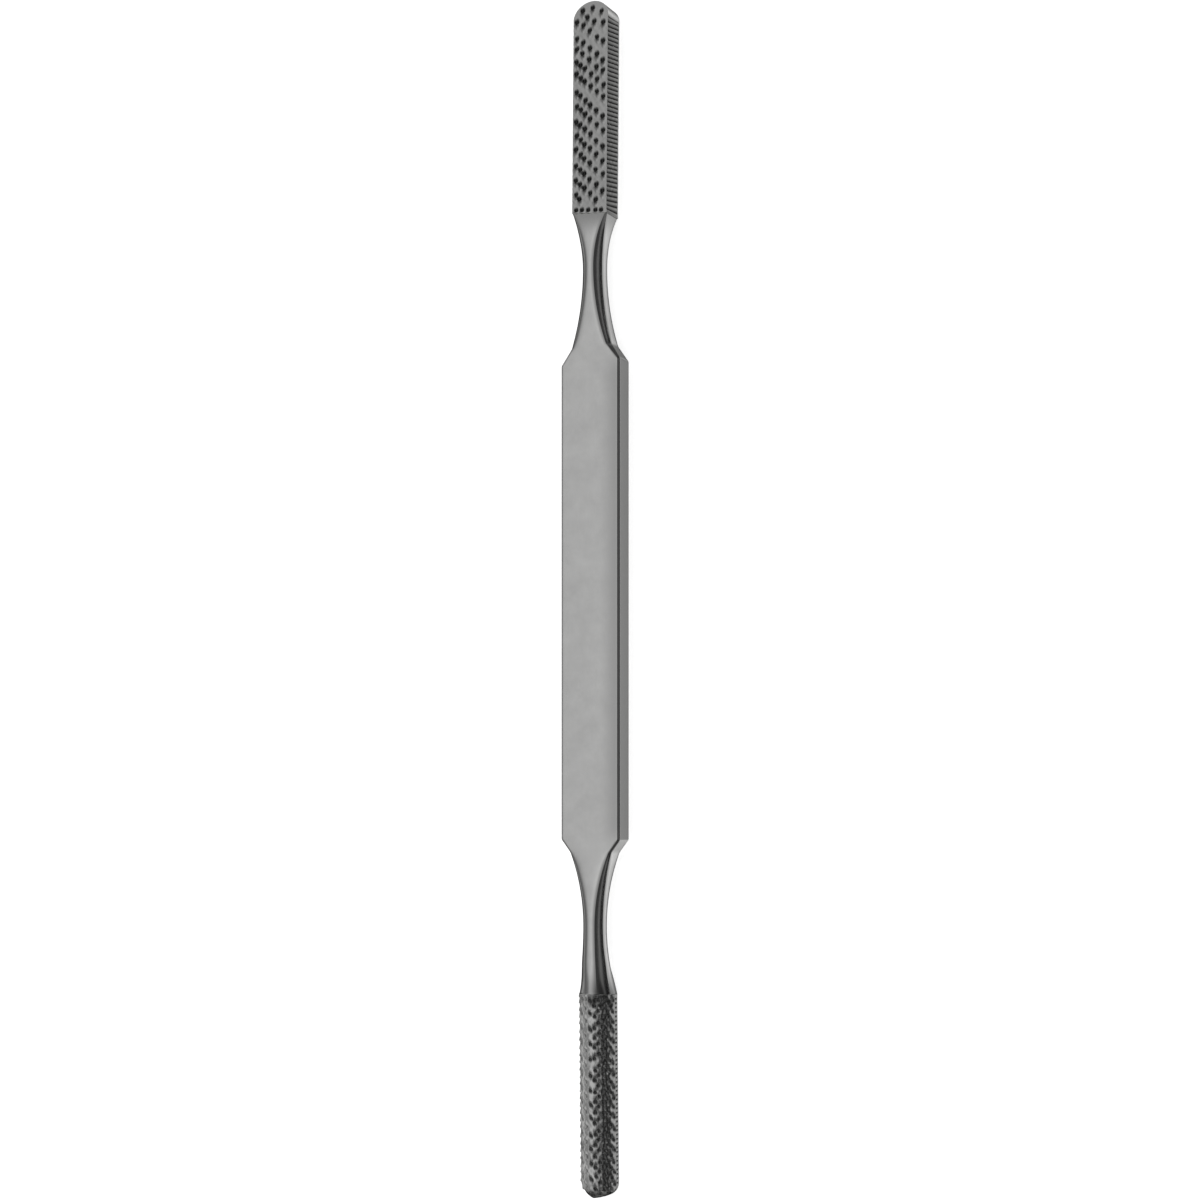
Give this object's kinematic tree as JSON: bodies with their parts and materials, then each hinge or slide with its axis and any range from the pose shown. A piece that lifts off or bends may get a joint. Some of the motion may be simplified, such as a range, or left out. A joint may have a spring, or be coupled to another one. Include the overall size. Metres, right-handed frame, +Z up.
{
  "type": "double-ended rasp",
  "caption": "All-metal double-ended hand rasp: flat bar handle with a waisted neck at each end, a flat rasp head on one neck and a half-round rasp head on the other.",
  "frame": {"origin": "centre of the box that holds the tool, at its underside: the surface it lies on", "axes": "+Y along the tool towards the flat head, +Z up out of the broad faces and the dome, +X across"},
  "size_m": [0.017, 0.3, 0.0065],
  "materials": {
    "handle_steel": "satin ground steel, fine lengthwise grain",
    "flat_head_steel": "hardened steel, punched rasp teeth and file-cut edges",
    "half_round_head_steel": "hardened steel, punched rasp teeth and file-cut edges"
  },
  "bodies": {
    "root": {"handle": "handle_steel", "flat_rasp_head": "flat_head_steel", "half_round_rasp_head": "half_round_head_steel"}
  },
  "joints": []
}
